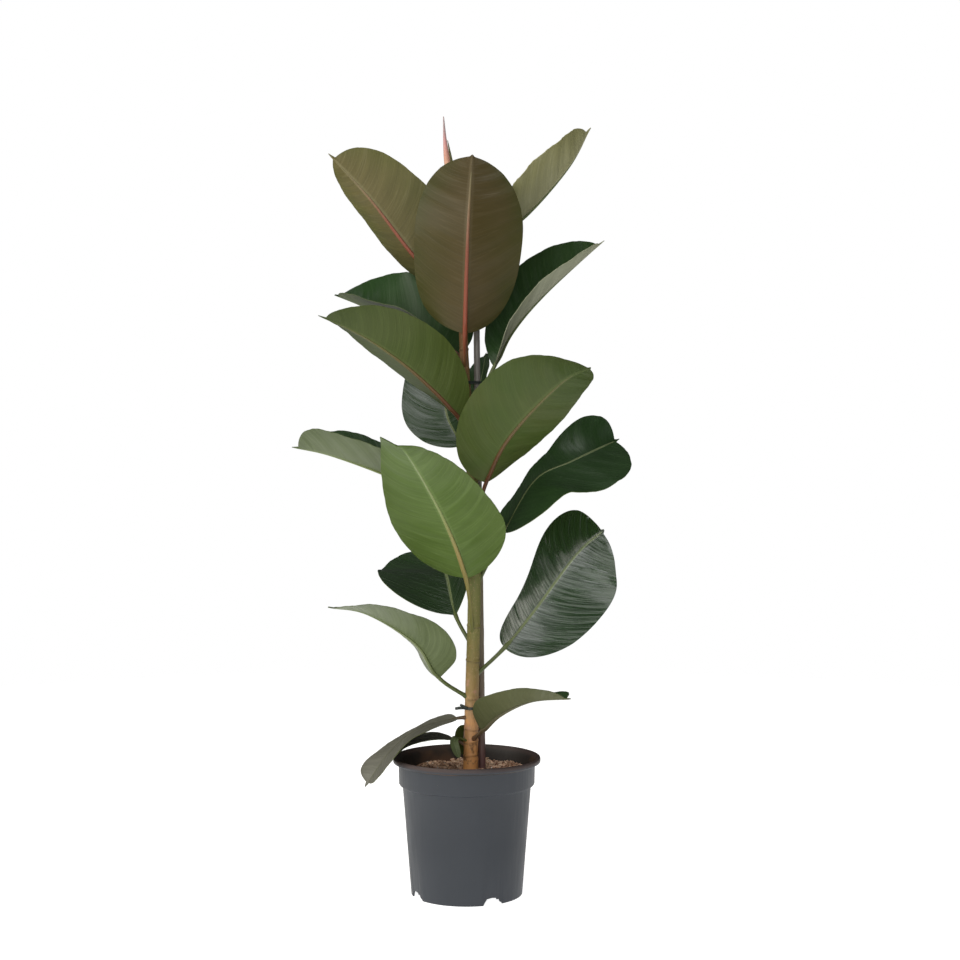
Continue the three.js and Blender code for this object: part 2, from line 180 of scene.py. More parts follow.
# cuticle: dark green under clear wax, its gloss broken into streaks along the side veins
def bladeTop(name, look):
    material, tree = newFinish(name)
    vein, _, across = bladeCoordinates(tree)
    streak = veinNoise(tree, vein, look["pitch"], veins["run"], 1.2)
    lines = veinLines(tree, vein)
    rib, _ = ribMask(tree, across, *veins["topRib"])
    cloud = noiseAt(tree, objectPlace(tree), 22.0, 3.0)
    body = blendColour(tree, cloud, look["deep"], look["body"])
    veined = blendColour(tree, times(tree, lines, 0.3), body, look["vein"])
    colour = blendColour(tree, rib, veined, look["rib"])
    relief = maths(tree, "ADD", streak, times(tree, lines, -0.2))
    rough = between(tree, streak, 0.3, 0.7, look["rough"] - 0.06, look["rough"] + 0.1)
    wax = {"Specular IOR Level": look["shine"], "Coat Weight": look["wax"], "Coat Roughness": 0.2}
    closeFinish(tree, colour, rough, 1.47, relief, look["relief"], extra=wax)
    return material


# underside: dull, mottled, paler at the veins, with painted shade darkening the furrows between them and the
# blade toward the tip
def bladeUnder(name, look):
    material, tree = newFinish(name)
    vein, along, across = bladeCoordinates(tree)
    streak = veinNoise(tree, vein, veins["pitch"], veins["run"], 2.0)
    lines = veinLines(tree, vein)
    rib, distance = ribMask(tree, across, *veins["underRib"])
    edgeward = maths(tree, "POWER", times(tree, distance, 2.0), 1.6, clamp=True)
    cloud = noiseAt(tree, objectPlace(tree), 16.0, 2.0)
    body = blendColour(tree, edgeward, look["middle"], look["edge"])
    patchy = blendColour(tree, between(tree, cloud, 0.35, 0.65, 0.0, 0.5), body, look["patch"])
    # painted shade in the furrows, where the vein relief is low
    paintedFurrowShade = between(tree, streak, 0.35, 0.65, 0.16 * look["marked"], 0.0)
    shaded = blendColour(tree, paintedFurrowShade, patchy, veins["shade"])
    veined = blendColour(tree, times(tree, lines, 0.22 * look["marked"]), shaded, look["vein"])
    ribbed = blendColour(tree, times(tree, rib, 0.5), veined, look["vein"])
    # painted shade: the underside darkens from the foot toward the tip
    paintedTipShade = between(tree, along, 0.15, 0.95, 0.0, look.get("fade", 0.0))
    colour = blendColour(tree, paintedTipShade, ribbed, veins["tipShade"])
    relief = maths(tree, "ADD", streak, times(tree, lines, 0.3))
    closeFinish(tree, colour, look["rough"], 1.4, relief, veins["underRelief"],
                extra={"Specular IOR Level": look["shine"]})
    return material


# stalk and midrib: smooth green skin that reddens with light, finely grained
def stalkFinish(name, stops):
    material, tree = newFinish(name)
    place = addNode(tree, "SeparateXYZ", {0: addNode(tree, "UVMap", uv_map="place").outputs[0]})
    grain = noiseAt(tree, objectPlace(tree), 260.0, 3.0)
    colour = blendColour(tree, times(tree, grain, 0.35), colourRamp(tree, place.outputs[0], stops), "#4b4a2c")
    closeFinish(tree, colour, 0.42, 1.45, grain, 0.3, 0.5)
    return material


def lookTable(keys, rows):
    return {name: dict(zip(keys, values)) for name, values in rows.items()}


# relief is mm of rise and fall that breaks up the gloss, pitch is mm between its streaks
topLooks = lookTable(("deep", "body", "vein", "rib", "rough", "relief", "pitch", "shine", "wax"), {
    "streaked": ("#1a2e17", "#27421e", "#40583a", "#8c9a70", 0.2, 2.6, 5.2, 0.7, 0.9),
    "brushed": ("#1e3219", "#2a4520", "#3c5434", "#8c9a70", 0.3, 1.2, 4.6, 0.6, 0.5),
    "deep": ("#20351a", "#2c4822", "#3c5430", "#8c9a70", 0.36, 0.2, 4.6, 0.3, 0.0),
    "dusty": ("#505146", "#78776c", "#7e7e70", "#5e5c4a", 0.5, 0.4, 5.0, 0.5, 0.0),
    "moss": ("#4a5634", "#5c6644", "#66744a", "#7c8456", 0.5, 0.2, 5.0, 0.3, 0.0),
})
# marked is how strongly the side veins and the painted shade in their furrows show, fade how much painted
# shade darkens the tip against the foot
underLooks = lookTable(("middle", "edge", "patch", "vein", "rough", "shine", "marked", "fade"), {
    "bronze": ("#4b4022", "#41441e", "#54482e", "#6a5f46", 0.42, 0.35, 0.7),
    "bronzeOlive": ("#615a34", "#595c2d", "#6d6541", "#8a8460", 0.46, 0.3, 0.9),
    "sage": ("#96946a", "#8e8c5c", "#a2a07e", "#aeac8c", 0.46, 0.3, 0.8),
    "silver": ("#979a7e", "#8e9276", "#a5a790", "#acae98", 0.44, 0.3, 0.8),
    "greyOlive": ("#4c5034", "#484d2e", "#5c5e42", "#686a4e", 0.48, 0.3, 0.4),
    "olive": ("#4f5f28", "#536328", "#5e6938", "#727f46", 0.48, 0.3, 0.7, 0.5),
    "leafGreen": ("#52652e", "#52632c", "#656c3e", "#7a8850", 0.48, 0.3, 0.6, 0.55),
    "bright": ("#495f24", "#42551d", "#576b36", "#728651", 0.46, 0.3, 0.8),
    "pale": ("#535f3b", "#4c5835", "#626d48", "#78835d", 0.46, 0.3, 0.9),
})
stalkLooks = {    # 0 to 0.3 is the stalk, 0.3 to 1 the midrib from the blade's foot to its tip
    "red": [(0.0, "#80603a"), (0.2, "#8c4c34"), (0.33, "#94452f"), (0.6, "#8f4e3c"), (0.8, "#837454"),
            (1.0, "#5f623c")],
    "rust": [(0.0, "#62422a"), (0.28, "#6c3e2a"), (0.4, "#704a2e"), (0.7, "#66602f"), (1.0, "#565f34")],
    "tan": [(0.0, "#666a30"), (0.25, "#807638"), (0.4, "#8f7c42"), (0.6, "#7f8c52"), (1.0, "#82906a")],
    "green": [(0.0, "#4e5a28"), (0.28, "#566332"), (0.5, "#707c50"), (1.0, "#707c58")],
    "brown": [(0.0, "#7a5136"), (0.2, "#5f4a38"), (0.4, "#56523e"), (1.0, "#565c42")],
}
topFinish = {key: bladeTop("leaf cuticle " + key, look) for key, look in topLooks.items()}
underFinish = {key: bladeUnder("leaf underside " + key, look) for key, look in underLooks.items()}
stemletFinish = {key: stalkFinish("leaf stalk " + key, stops) for key, stops in stalkLooks.items()}
print("leaf finishes mixed")


# ---- shaping helpers

def pick(active, *others):
    bpy.ops.object.select_all(action="DESELECT")
    for piece in (*others, active):
        piece.select_set(True)
    bpy.context.view_layer.objects.active = active


def primitive(add, **settings):
    bpy.ops.object.select_all(action="DESELECT")
    add(**settings)
    return bpy.context.object


def roundPoint(radius, turn, z):
    return Vector((radius * math.cos(turn), radius * math.sin(turn), z)) * mm


# a grid primitive whose every vertex goes to placeVertex(share along, share across)
def gridPiece(name, alongCount, acrossCount, placeVertex, uvMaps=None, weld=False):
    piece = primitive(bpy.ops.mesh.primitive_grid_add, x_subdivisions=alongCount,
                      y_subdivisions=acrossCount, size=1)
    piece.name = piece.data.name = name
    mesh = piece.data
    shares = [(vertex.co.x + 0.5, vertex.co.y + 0.5) for vertex in mesh.vertices]
    mesh.uv_layers.remove(mesh.uv_layers[0])
    for mapName, uvAt in (uvMaps or {}).items():
        layer = mesh.uv_layers.new(name=mapName)
        values = [uvAt(*share) for share in shares]
        for loop in mesh.loops:
            layer.data[loop.index].uv = values[loop.vertex_index]
    for vertex, share in zip(mesh.vertices, shares):
        vertex.co = placeVertex(*share)
    if weld:
        bpy.ops.object.mode_set(mode="EDIT")
        bpy.ops.mesh.select_all(action="SELECT")
        bpy.ops.mesh.remove_doubles(threshold=0.01 * mm)
        bpy.ops.mesh.normals_make_consistent(inside=False)
        bpy.ops.object.mode_set(mode="OBJECT")
    return piece


def smooth(piece, angle):
    pick(piece)
    bpy.ops.object.shade_smooth_by_angle(angle=math.radians(angle))


def applyModifier(piece, kind, **settings):
    pick(piece)
    modifier = piece.modifiers.new(kind.lower(), kind)
    for name, value in settings.items():
        setattr(modifier, name, value)
    bpy.ops.object.modifier_apply(modifier=modifier.name)


def joinInto(target, *others):
    pick(target, *others)
    bpy.ops.object.join()


def settle(piece, slotName, *nodes):
    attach(piece, "root")
    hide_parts(*nodes)


# three values at foot, middle and tip joined by a parabola
def bySteps(values, share):
    foot, middle, tip = values
    return foot + (4 * middle - 3 * foot - tip) * share + 2 * (foot - 2 * middle + tip) * share * share


def ease(low, high, value):
    share = min(max((value - low) / (high - low), 0), 1)
    return share * share * (3 - 2 * share)


def bell(offset, spread):
    return math.exp(-(offset / spread) ** 2)


# smooth curve through points, its ends carried straight on
def curvePoint(points, step):
    i = min(int(step), len(points) - 2)
    f = step - i
    before = points[i - 1] if i else 2 * points[0] - points[1]
    after = points[i + 2] if i + 2 < len(points) else 2 * points[-1] - points[-2]
    leave, arrive = (points[i + 1] - before) / 2, (after - points[i]) / 2
    return ((2 * f**3 - 3 * f**2 + 1) * points[i] + (f**3 - 2 * f**2 + f) * leave
            + (3 * f**2 - 2 * f**3) * points[i + 1] + (f**3 - f**2) * arrive)


def measuredCurve(points, samples=400):
    places = [curvePoint(points, (len(points) - 1) * i / samples) for i in range(samples + 1)]
    lengths = [0]
    for here, there in zip(places, places[1:]):
        lengths.append(lengths[-1] + (there - here).length)

    def at(distance):
        i = min(max(bisect.bisect(lengths, distance) - 1, 0), samples - 1)
        share = (distance - lengths[i]) / (lengths[i + 1] - lengths[i])
        return places[i].lerp(places[i + 1], share)
    return at, lengths


# ---- trunk: sideways place and radius every 100 mm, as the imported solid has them

trunk = {
    "firstZ": 70, "step": 100, "rows": 520, "around": 48,
    "x": [4.5, 5, 7, 9.4, 9.4, 5.4, -2.3, -6.7, -17.2],
    "radius": [10.5, 9.6, 8.9, 8.4, 7.9, 7.3, 6.2, 5.2, 3.6],
    "scars": [178, 196, 212, 252, 300, 345, 420, 500, 545, 590, 640, 700, 760, 815],
    "scarTilt": 1.2, "scarRise": 0.7, "scarHalf": 1.1,          # a ring stands out ...
    "grooveAbove": 2.8, "grooveDeep": 0.35, "grooveHalf": 1.4,  # ... with a groove above it
    "scarStain": 0.8, "stainBelow": 1.5,
    "bumps": 0.35, "bumpRun": 14, "bumpSink": 0.1,
    "knobs": 26, "knobZ": (168, 275), "knobRise": (0.4, 1.1), "knobSpread": (1.6, 3.2),
}


def trunkAt(z):
    step = min(max((z - trunk["firstZ"]) / trunk["step"], 0), len(trunk["x"]) - 1)
    here = curvePoint([Vector((x, r)) for x, r in zip(trunk["x"], trunk["radius"])], step)
    return here.x, here.y


# ---- leaves: the same midrib paths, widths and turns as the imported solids, in mm and degrees

# what a leaf has unless its plan says otherwise: cup is more fold toward the margin, left and right are
# the halves' widths at foot, middle and tip, stalk is its radius, drip and curl shape the pointed tip
usualLeaf = {
    "cup": 0, "left": (1, 1, 1), "right": (1, 1, 1), "stalk": 2.5, "curl": 1, "drip": 1, "ripple": 1,
    "top": "deep", "under": "olive", "stalkLook": "green",
}
leafPlans = {
    "leaf_01": dict(
        start=741, path=[(-38, -6, 789), (-71, -8, 824), (-122, -8, 890), (-177, -2, 951)],
        width=133, roll=(54, 56, 55), fold=(33, 30, 27), cup=8, left=(1.4, 1, 0.95), right=(1.1, 0.9, 0.9),
        under="bronzeOlive", stalkLook="red"),
    "leaf_02": dict(
        start=676, path=[(-2, -38, 718), (0, -62, 789), (3, -72, 863), (8, -40, 950)],
        width=148, roll=(-3, 2, 5), fold=(20, 16, 14), cup=8, left=(0.95, 1, 1.1), right=(1.15, 0.95, 1.1),
        heading=-90, curl=110, drip=0.6, under="bronze", stalkLook="red"),
    "leaf_03": dict(
        start=813, path=[(29, 14, 844), (76, 30, 876), (133, 36, 940), (161, 40, 992)],
        width=116, roll=(-9, -9, -9), fold=(25, 21, 21), cup=8, left=(0.75, 0.75, 0.75),
        right=(1.35, 1.35, 1.2), ripple=1.3, under="sage"),
    "leaf_04": dict(
        start=610, path=[(36, -14, 679), (58, 0, 723), (101, 12, 773), (178, 24, 843)],
        width=117, roll=(18, 14, 12), fold=(31, 36, 21), cup=6, left=(0.4, 0.97, 0.85),
        right=(1.1, 0.85, 0.9), under="silver"),
    "leaf_05": dict(
        start=669, path=[(-12, 20, 695), (-57, 34, 733), (-115, 48, 752), (-175, 62, 776)],
        width=136, roll=(-27, -29, -7), fold=(29, 37, 13), cup=6, left=(1, 0.95, 1),
        right=(1.05, 0.95, 1.3), under="pale", stalkLook="rust"),
    "leaf_06": dict(
        start=571, path=[(-11, -16, 613), (-65, -30, 668), (-125, -42, 711), (-186, -50, 740)],
        width=110, roll=(49, 41, 10), fold=(47, 33, 17), cup=6, left=(1.05, 1.05, 0.75),
        right=(0.8, 1.2, 1.4), stalkLook="rust"),
    "leaf_07": dict(
        start=526, path=[(-7, 40, 576), (-28, 85, 622), (-25, 130, 681), (-34, 165, 760)],
        width=134, roll=(-6, -8, -1), fold=(4, 2, 9), cup=8, left=(0.9, 0.9, 0.85), right=(1, 0.5, 0.35),
        heading=90, top="brushed"),
    "leaf_08": dict(
        start=571, path=[(5, 39, 604), (13, 64, 640), (20, 86, 672), (25, 106, 702)],
        width=88, roll=(-30, -30, -30), fold=(20, 20, 20), cup=8, left=(0.7, 0.6, 0.5),
        right=(0.7, 0.55, 0.6)),
    "leaf_09": dict(
        start=468, path=[(25, -20, 530), (54, -45, 587), (117, -70, 653), (159, -95, 675)],
        width=128, roll=(-21, -34, -19), fold=(21, 9, -5), cup=4, left=(1, 0.8, 0.75), right=(1, 1.2, 1.2),
        drip=0.3, under="leafGreen", stalkLook="rust"),
    "leaf_10": dict(
        start=391, path=[(48, 6, 465), (88, 14, 532), (138, 42, 557), (206, 118, 586)],
        width=123, roll=(16, 25, 79), fold=(3, -6, 40), left=(1.45, 0.75, 1.45), right=(1.3, 1.35, 0.85),
        heading=5, curl=60, drip=0.7),
    "leaf_11": dict(
        start=277, path=[(49, 6, 316), (86, 12, 361), (141.5, 18, 435), (182, 12, 471)],
        width=135, roll=(58, 71, 58), fold=(-7, -11, -6), cup=-4, left=(0.6, 0.57, 1.58),
        right=(0.88, 1.12, 1.18), heading=12, drip=0.4, top="streaked"),
    "leaf_12": dict(
        start=471, path=[(-32, -3, 505), (-93, 0, 535), (-172, 5, 563), (-226, 10, 575)],
        width=120, roll=(7, -3, 1), fold=(29, 28, 31), cup=6, left=(1, 1.1, 1.45),
        right=(0.85, 1.05, 1.15), under="pale", stalkLook="tan"),
    "leaf_13": dict(
        start=326, path=[(-1, -40, 409), (-29, -78, 488), (-72, -119, 566), (-89, -146, 577)],
        width=145, roll=(25, 7, -12), fold=(18, -3, 15), cup=2, left=(0.85, 1.15, 0.8),
        right=(1.1, 1.05, 1), drip=0.3, under="bright", stalkLook="tan"),
    "leaf_14": dict(
        start=316, path=[(-15, 36, 355), (-29, 120, 403), (-46, 180, 412), (-48, 228, 436)],
        width=168, roll=(-29, -34, -40), fold=(39, 34, 28), cup=4, left=(1.2, 1.1, 0.9), top="brushed"),
    "leaf_15": dict(
        start=249, path=[(-36, -10, 279), (-65, -20, 324), (-125, -30, 362), (-175, -40, 372)],
        width=106, roll=(31, 14, 6), fold=(24, 11, 2), cup=4, left=(1.1, 1.1, 1), right=(1.1, 0.95, 1),
        under="pale"),
    "leaf_16": dict(
        start=196, path=[(20, -28, 213), (42, -62, 239), (80, -97, 261), (127, -125, 268)],
        width=66, roll=(-20, -11, -11), fold=(52, 20, 30), left=(1, 1, 1.7), right=(0.9, 1.2, 1),
        under="greyOlive", stalkLook="brown"),
    "leaf_17": dict(
        start=225, path=[(-13, -6, 226), (-62, -10, 213), (-99, -14, 184), (-130, -18, 140)],
        width=73, roll=(-9, 0, -35), fold=(8, 1, 21), left=(1.1, 1.45, 0.95), right=(1.1, 0.8, 1.4),
        stalk=2, top="dusty", under="greyOlive", stalkLook="brown"),
    "leaf_18": dict(
        start=187, path=[(-19, 2, 198), (-48, 2, 199), (-78, 0, 191), (-107, -6, 165)],
        width=46, roll=(-4, -4, -4), fold=(6, 6, 6), stalk=1.8, top="dusty", stalkLook="brown"),
    "leaf_19": dict(
        start=194, path=[(-10, -14, 202), (-16, -20, 199), (-14, -24, 190), (-9, -26, 178)],
        width=11, roll=(0, 0, 0), fold=(20, 20, 20), stalk=1.3, top="moss"),
    "leaf_20": dict(
        start=220, path=[(3, 22, 212), (3, 33, 197), (5, 39, 180), (6, 41, 165)],
        width=39, roll=(0, 0, 0), fold=(10, 10, 10), stalk=1.6, heading=90, stalkLook="brown"),
}
leafMake = {
    "alongCount": 112, "acrossCount": 30, "crowding": 1.5,      # columns crowd at the midrib
    "thickness": 0.8, "usualWidth": 120, "bodyEnd": 0.955, "bodyRows": 0.965, "bluntness": 2.25,
    "tipFrom": 0.9, "tipHalfWidth": 0.4, "tipSpread": 60, "tipLimit": 0.05,
    "veinSlant": 0.26, "veinBend": 0.3, "groove": 0.5, "grooveHalf": 1.3,
    "waves": (((26, 36), 0.55), ((11, 14), 0.2), ((8, 9.5), 0.14)),     # range of lengths, height
    "marginHigh": 0.9, "marginWaves": 2.6, "firstSeed": 100,
    "ribWide": (3.0, 1.9, 0.5), "ribDeep": (2.3, 1.3, 0.4), "ribEnd": 0.93, "ribInside": 0.45,
    "stalkShare": 0.3, "flare": 0.5, "flareRun": 4, "stalkRows": 120, "stalkAround": 14,
}


# hand is "left" or "right", seen from the foot with the top side up
def halfWidth(plan, share, hand):
    stalk = plan["stalk"] * (1 - share)
    point = 0
    if share > leafMake["tipFrom"]:
        point = leafMake["tipHalfWidth"] + leafMake["tipSpread"] * (1 - share)
    taper = max(stalk, min(point, plan["width"] * leafMake["tipLimit"]))
    if share >= leafMake["bodyEnd"]:
        return taper
    bluntness = leafMake["bluntness"]
    outline = (1 - abs(2 * share / leafMake["bodyEnd"] - 1) ** bluntness) ** (1 / bluntness)
    return math.hypot(plan["width"] / 2 * bySteps(plan[hand], share) * outline, taper)


def midribFrames(plan):
    points = [Vector((trunkAt(plan["start"])[0], 0, plan["start"]))] + [Vector(p) for p in plan["path"]]
    at, lengths = measuredCurve(points)
    foot = lengths[len(lengths) // (len(points) - 1)]       # the blade starts at the second point
    total = lengths[-1]
    chord = points[-1] - points[1]
    heading = math.radians(plan["heading"]) if "heading" in plan else math.atan2(chord.y, chord.x)
    level = Vector((-math.sin(heading), math.cos(heading), 0))

    tipStart = foot + (total - foot) * leafMake["bodyEnd"]
    tipLength = (total - tipStart) * plan["drip"]
    bend = math.radians(plan["curl"])

    def frameAt(distance):
        here = at(min(distance, tipStart))
        along = (at(min(distance + 1, total)) - at(max(distance - 1, 0))).normalized()
        flatSide = (level - level.dot(along) * along).normalized()
        flatFace = along.cross(flatSide)
        roll = math.radians(bySteps(plan["roll"], max((distance - foot) / (total - foot), 0)))
        side = flatSide * math.cos(roll) + flatFace * math.sin(roll)
        face = flatFace * math.cos(roll) - flatSide * math.sin(roll)
        if distance > tipStart:      # the drip tip curls toward the top side
            turn = bend * (distance - tipStart) / (total - tipStart)
            here = here + tipLength / bend * (along * math.sin(turn) + face * (1 - math.cos(turn)))
            face = face * math.cos(turn) - along * math.sin(turn)
        return here, side, face
    return frameAt, foot, total


# rows crowd at the foot and at the blunt end, the last few make the drip tip
def bladeRow(x):
    bodyEnd, bodyRows = leafMake["bodyEnd"], leafMake["bodyRows"]
    if x >= bodyRows:
        return bodyEnd + (1 - bodyEnd) * (x - bodyRows) / (1 - bodyRows)
    return bodyEnd * (0.5 - 0.5 * math.cos(math.pi * x / bodyRows))


def makeLeaf(name, plan, number):
    frameAt, foot, total = midribFrames(plan)
    blade = total - foot
    size = min(plan["width"] / leafMake["usualWidth"], 1) * plan["ripple"]
    rng = random.Random(leafMake["firstSeed"] + number)
    waves = [(rng.uniform(*lengths), high * size) for lengths, high in leafMake["waves"]]
    turns = [rng.uniform(0, lastTurn) for _ in range(8)]        # three waves and a margin for each half
    rows = {}

    def row(x):
        if x not in rows:
            share = bladeRow(x)
            widths = halfWidth(plan, share, "left"), halfWidth(plan, share, "right")
            rows[x] = (share, *widths, *frameAt(foot + blade * share))
        return rows[x]

    def across(y):
        v = 2 * y - 1
        return math.copysign(abs(v) ** leafMake["crowding"], v)

    def widthAt(x, y):
        return row(x)[1 if y > 0.5 else 2]

    def veinPhase(x, y):
        share, width = row(x)[0], widthAt(x, y)
        distance = abs(across(y)) * width
        bend = leafMake["veinBend"] * distance**2 / max(width, 1)
        return blade * share - leafMake["veinSlant"] * distance - bend

    def waveHeight(x, y):
        share, v, phase = row(x)[0], across(y), veinPhase(x, y)
        hand = 0 if v > 0 else 3
        ripple = sum(high * math.sin(fullTurn * phase / long + turns[k + hand])
                     for k, (long, high) in enumerate(waves))
        ripple *= ease(0.03, 0.4, abs(v)) * (1 - 0.35 * abs(v))
        ripple *= ease(0, 0.12, share) * ease(0, 0.12, 1 - share)
        margin = math.sin(fullTurn * leafMake["marginWaves"] * share + turns[6 + (v > 0)])
        return ripple + leafMake["marginHigh"] * size * abs(v) ** 3 * margin

    def placeVertex(x, y):
        share, _, _, here, side, face = row(x)
        v, width = across(y), widthAt(x, y)
        rise = math.radians(bySteps(plan["fold"], share) + plan["cup"] * abs(v) / 2)
        groove = leafMake["groove"] * size * ease(0, 0.05, share) * bell(v * width, leafMake["grooveHalf"])
        lift = leafMake["thickness"] / 2 + abs(v) * width * math.sin(rise) + waveHeight(x, y) - groove
        return (here + side * (v * width * math.cos(rise)) + face * lift) * mm

    def veinUv(x, y):
        return (veinPhase(x, y) * mm + number, across(y) * widthAt(x, y) * mm)

    def placeUv(x, y):
        return (row(x)[0], 0.5 + 0.5 * across(y))

    leaf = gridPiece(name + "_blade", leafMake["alongCount"], leafMake["acrossCount"], placeVertex,
                     {"veins": veinUv, "place": placeUv})
    under = underFinish[plan["under"]]
    for finish in (topFinish[plan["top"]], under, under):
        leaf.data.materials.append(finish)
    applyModifier(leaf, "SOLIDIFY", thickness=leafMake["thickness"] * mm, offset=-1,
                  material_offset=1, material_offset_rim=2)
    joinInto(leaf, makeStalk(name + "_stalk", plan, frameAt, foot, total, number))
    for vertex in leaf.data.vertices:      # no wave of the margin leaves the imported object's box
        vertex.co = [min(max(c, low), high) for c, low, high in zip(vertex.co, *cadBox)]
    smooth(leaf, 50)
    settle(leaf, slotOf[name], name)


def makeStalk(name, plan, frameAt, foot, total, number):
    stalk = plan["stalk"]
    thin = stalk / usualLeaf["stalk"]
    trunkRadius = trunkAt(plan["start"])[1]
    split = leafMake["stalkShare"]

    # share of the grid to distance in mm and share of the blade
    def along(x):
        if x < split:
            return x / split * foot, 0
        share = (x - split) / (1 - split) * leafMake["ribEnd"]
        return foot + (total - foot) * share, share

    # half the width and half the depth: the round stalk swells into the flat midrib
    def section(x, distance, share):
        ribs = [leafMake[key] for key in ("ribWide", "ribDeep")]
        if x > split:
            return [bySteps(rib, share) * thin for rib in ribs]
        flare = 1 + leafMake["flare"] * math.exp(-max(distance - trunkRadius, 0) / leafMake["flareRun"])
        swell = ease(0.75, 1, x / split)
        return [stalk * flare + swell * (rib[0] * thin - stalk) for rib in ribs]

    def placeVertex(x, y):
        distance, share = along(x)
        here, side, face = frameAt(distance)
        wide, deep = section(x, distance, share)
        sink = (deep - leafMake["ribInside"]) * ease(0, 0.07, share)       # stands out below the blade only
        closing = ease(0, 0.015, 1 - x) * ease(0, 0.002, x)
        turn = fullTurn * y
        offset = side * (wide * math.cos(turn)) + face * (deep * math.sin(turn))
        return (here + offset * closing - face * sink) * mm

    def placeUv(x, y):
        return (x if x < split else split + (1 - split) * along(x)[1], y)

    def veinUv(x, y):
        return (along(x)[0] * mm + number, y * 0.01)

    piece = gridPiece(name, leafMake["stalkRows"], leafMake["stalkAround"], placeVertex,
                      {"veins": veinUv, "place": placeUv}, weld=True)
    piece.data.materials.append(stemletFinish[plan["stalkLook"]])
    return piece


slotOf = {entry["node"]: entry["material_slot"] for entry in frame["record"]["subparts"]}
for number, (name, plan) in enumerate(leafPlans.items(), 1):
    makeLeaf(name, {**usualLeaf, **plan}, number)
print("leaves shaped:", len(leafPlans))


# ---- trunk, thin bark: corky tan at the foot, green above, ringed by leaf scars

barkColours = [
    (0.15, "#dc9c5e"), (0.2, "#dba066"), (0.235, "#bc9468"), (0.27, "#a28650"), (0.33, "#827e44"),
    (0.4, "#6f763b"), (0.5, "#686e39"), (0.65, "#8c6a40"), (0.8, "#98704c"), (0.88, "#b8835e"),
]


def barkFinish():
    material, tree = newFinish("thin bark over green wood")
    place = objectPlace(tree)
    height = heightOf(tree, place)
    wander = times(tree, maths(tree, "SUBTRACT", noiseAt(tree, place, 60.0, 2.0), 0.5), 0.09)
    green = colourRamp(tree, maths(tree, "ADD", height, wander), barkColours)
    grain = noiseAt(tree, place, (900, 900, 160), 4.0)
    speckMap = addNode(tree, "Mapping", {"Vector": place, "Scale": (420, 420, 240)}).outputs[0]
    speck = addNode(tree, "TexVoronoi", {"Vector": speckMap, "Scale": 1.0}).outputs["Distance"]
    lenticel = between(tree, speck, 0.12, 0.3, 1.0, 0.0)
    ground = blendColour(tree, times(tree, grain, 0.5), green, "#5a4a2c")
    speckled = blendColour(tree, times(tree, lenticel, 0.35), ground, "#b89a74")
    marks = addNode(tree, "SeparateXYZ", {0: addNode(tree, "UVMap", uv_map="marks").outputs[0]})
    scarred = blendColour(tree, times(tree, marks.outputs[0], 0.6), speckled, "#4a3a22")
    knobbed = blendColour(tree, times(tree, marks.outputs[1], 0.75), scarred, "#b98a74")
    blotch = between(tree, noiseAt(tree, place, 90.0, 3.0), 0.6, 0.68, 0.0, 0.7)
    low = between(tree, height, 0.2, 0.27, 1.0, 0.0)
    colour = blendColour(tree, times(tree, blotch, low), knobbed, "#4a3a24")
    relief = maths(tree, "ADD", grain, times(tree, lenticel, 0.5))
    closeFinish(tree, colour, 0.55, 1.45, relief, 0.35, 0.8)
    return material


def makeTrunk():
    top = trunk["firstZ"] + trunk["step"] * (len(trunk["x"]) - 1)
    rng = random.Random(7)
    ranges = [(0, lastTurn), trunk["knobZ"], trunk["knobRise"], trunk["knobSpread"]]
    knobs = [[rng.uniform(*ends) for ends in ranges] for _ in range(trunk["knobs"])]

    def heightAt(x):
        return trunk["firstZ"] + (top - trunk["firstZ"]) * x

    # how far above each scar, which runs round the trunk a little tilted
    def aboveScars(z, turn):
        return [z - scar - trunk["scarTilt"] * math.sin(turn + scar) for scar in trunk["scars"]]

    def knobHeight(knob, z, turn, radius):
        angle, height, rise, spread = knob
        return rise * bell(math.hypot(z - height, math.remainder(turn - angle, fullTurn) * radius), spread)

    def placeVertex(x, y):
        z, turn = heightAt(x), fullTurn * y
        centre, radius = trunkAt(z)
        for above in aboveScars(z, turn):
            radius += trunk["scarRise"] * bell(above, trunk["scarHalf"])
            radius -= trunk["grooveDeep"] * bell(above - trunk["grooveAbove"], trunk["grooveHalf"])
        around = Vector((math.cos(turn), math.sin(turn), 0))
        bumps = noise.noise(Vector((around.x * 2, around.y * 2, z / trunk["bumpRun"])))
        radius += trunk["bumps"] * bumps - trunk["bumpSink"]
        for knob in knobs:
            radius += knobHeight(knob, z, turn, radius)
        closing = ease(0, 0.002, x) * ease(0, 0.002, 1 - x)
        return (Vector((centre, 0, z)) + around * radius * closing) * mm

    # dark below each scar, corky on the knobs
    def marksAt(x, y):
        z, turn = heightAt(x), fullTurn * y
        radius = trunkAt(z)[1]
        ring = sum(bell(above + trunk["stainBelow"], trunk["scarStain"]) for above in aboveScars(z, turn))
        cork = sum(knobHeight(knob, z, turn, radius) / knob[2] for knob in knobs)
        return (min(ring, 1), min(cork, 1))

    piece = gridPiece("trunk_bark", trunk["rows"], trunk["around"], placeVertex,
                      {"marks": marksAt}, weld=True)
    piece.data.materials.append(barkFinish())
    smooth(piece, 60)
    settle(piece, "bark", "stem")


makeTrunk()


# ---- round pieces along a path

